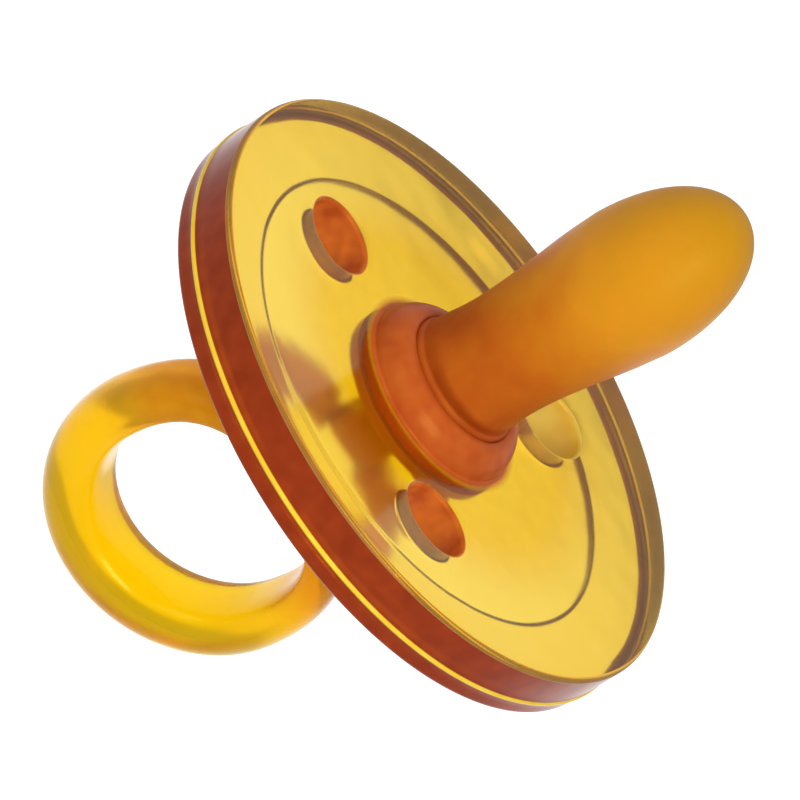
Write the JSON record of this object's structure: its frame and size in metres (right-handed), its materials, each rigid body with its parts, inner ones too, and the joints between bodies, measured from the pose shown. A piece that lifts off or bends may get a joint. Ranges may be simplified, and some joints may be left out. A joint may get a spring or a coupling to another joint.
{
  "type": "baby soother",
  "caption": "Natural rubber soother: thick dished round shield with air vents, hollow oval teat, and a round ring handle that swings in an eye behind the shield.",
  "frame": {"origin": "under the centre of the shield, at the height of the ring handle's lowest point", "axes": "+Z along the shield's axis towards the teat, +X along the ring handle's pintle, +Y at right angles to both, on the side the ring is swung towards"},
  "size_m": [0.043, 0.043, 0.0562],
  "materials": {
    "clear_amber_rubber": "clear amber natural rubber, polished",
    "matte_amber_rubber": "dipped natural rubber, satin and cloudy",
    "solid_amber_rubber": "deep amber natural rubber, satin",
    "glossy_amber_rubber": "amber natural rubber, glossy"
  },
  "bodies": {
    "soother": {"shield": "clear_amber_rubber", "teat": "matte_amber_rubber", "plug": "solid_amber_rubber"},
    "handle": {"ring_handle": "glossy_amber_rubber"}
  },
  "joints": [
    {"name": "ring_swing", "type": "hinge", "parent": "soother", "child": "handle", "pos_m": [-0.00084, 0, 0.02036], "axis": [0.9936, 0, -0.1132], "range_deg": [-96.4, 83.6]}
  ]
}
